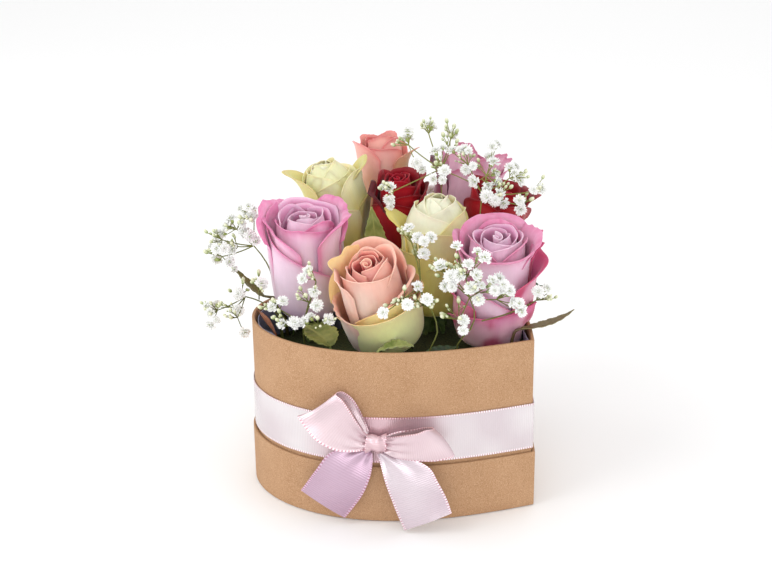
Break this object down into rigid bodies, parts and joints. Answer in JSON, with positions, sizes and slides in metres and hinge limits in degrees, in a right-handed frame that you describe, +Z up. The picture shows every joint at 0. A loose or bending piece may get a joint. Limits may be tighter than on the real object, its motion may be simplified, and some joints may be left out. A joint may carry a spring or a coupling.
{
  "type": "heart-shaped rose box",
  "caption": "Heart-shaped kraft board box standing in its lid, tied with a satin ribbon and bow, filled with foam that holds roses, gypsophila sprays and leaves.",
  "frame": {"origin": "on the underside of the lid, which the box stands in, below the middle of the heart", "axes": "+Z up, +X from the heart's notch towards its tip, the bow on the flank that faces -Y"},
  "size_m": [0.1753, 0.1867, 0.183],
  "materials": {
    "kraft_board": "matte",
    "dark_film": "satin",
    "wet_foam": "matte",
    "satin_ribbon": "satin",
    "rose_lilac": "matte",
    "rose_peach": "matte",
    "rose_ivory": "matte",
    "rose_cream": "matte",
    "rose_coral": "matte",
    "rose_red": "matte",
    "rose_mauve": "matte",
    "rose_stem": "matte",
    "gypsophila": "matte",
    "leaf_brown": "matte",
    "leaf_rust": "matte",
    "leaf_green": "matte",
    "leaf_dark": "matte"
  },
  "bodies": {
    "root": {"lid_panel": "kraft_board", "lid_rim": "kraft_board", "box_wall": "kraft_board", "box_floor": "kraft_board", "film_liner": "dark_film", "foam_block": "wet_foam", "ribbon_band": "satin_ribbon", "bow_knot": "satin_ribbon", "bow_loop_left": "satin_ribbon", "bow_loop_right": "satin_ribbon", "bow_tail_left": "satin_ribbon", "bow_tail_right": "satin_ribbon", "rose_lilac_left": "rose_lilac", "rose_lilac_right": "rose_lilac", "rose_peach_front": "rose_peach", "rose_ivory_left": "rose_ivory", "rose_cream_centre": "rose_cream", "rose_coral_back": "rose_coral", "rose_red_centre": "rose_red", "rose_red_right": "rose_red", "rose_mauve_back": "rose_mauve", "rose_lilac_left_stem": "rose_stem", "rose_lilac_right_stem": "rose_stem", "rose_peach_front_stem": "rose_stem", "rose_ivory_left_stem": "rose_stem", "rose_cream_centre_stem": "rose_stem", "rose_coral_back_stem": "rose_stem", "rose_red_centre_stem": "rose_stem", "rose_red_right_stem": "rose_stem", "rose_mauve_back_stem": "rose_stem", "spray_left_high": "gypsophila", "spray_left_low": "gypsophila", "spray_front_left": "gypsophila", "spray_front_middle": "gypsophila", "spray_front_right": "gypsophila", "spray_top_middle": "gypsophila", "spray_top_right": "gypsophila", "spray_back": "gypsophila", "leaf_left_tall": "leaf_brown", "leaf_right": "leaf_brown", "leaf_rim_left": "leaf_rust", "leaf_front": "leaf_green", "leaf_middle": "leaf_green", "leaf_back": "leaf_green", "leaf_front_left": "leaf_dark", "leaf_front_right": "leaf_dark", "leaf_back_left": "leaf_dark", "leaf_back_right": "leaf_dark"}
  },
  "joints": []
}
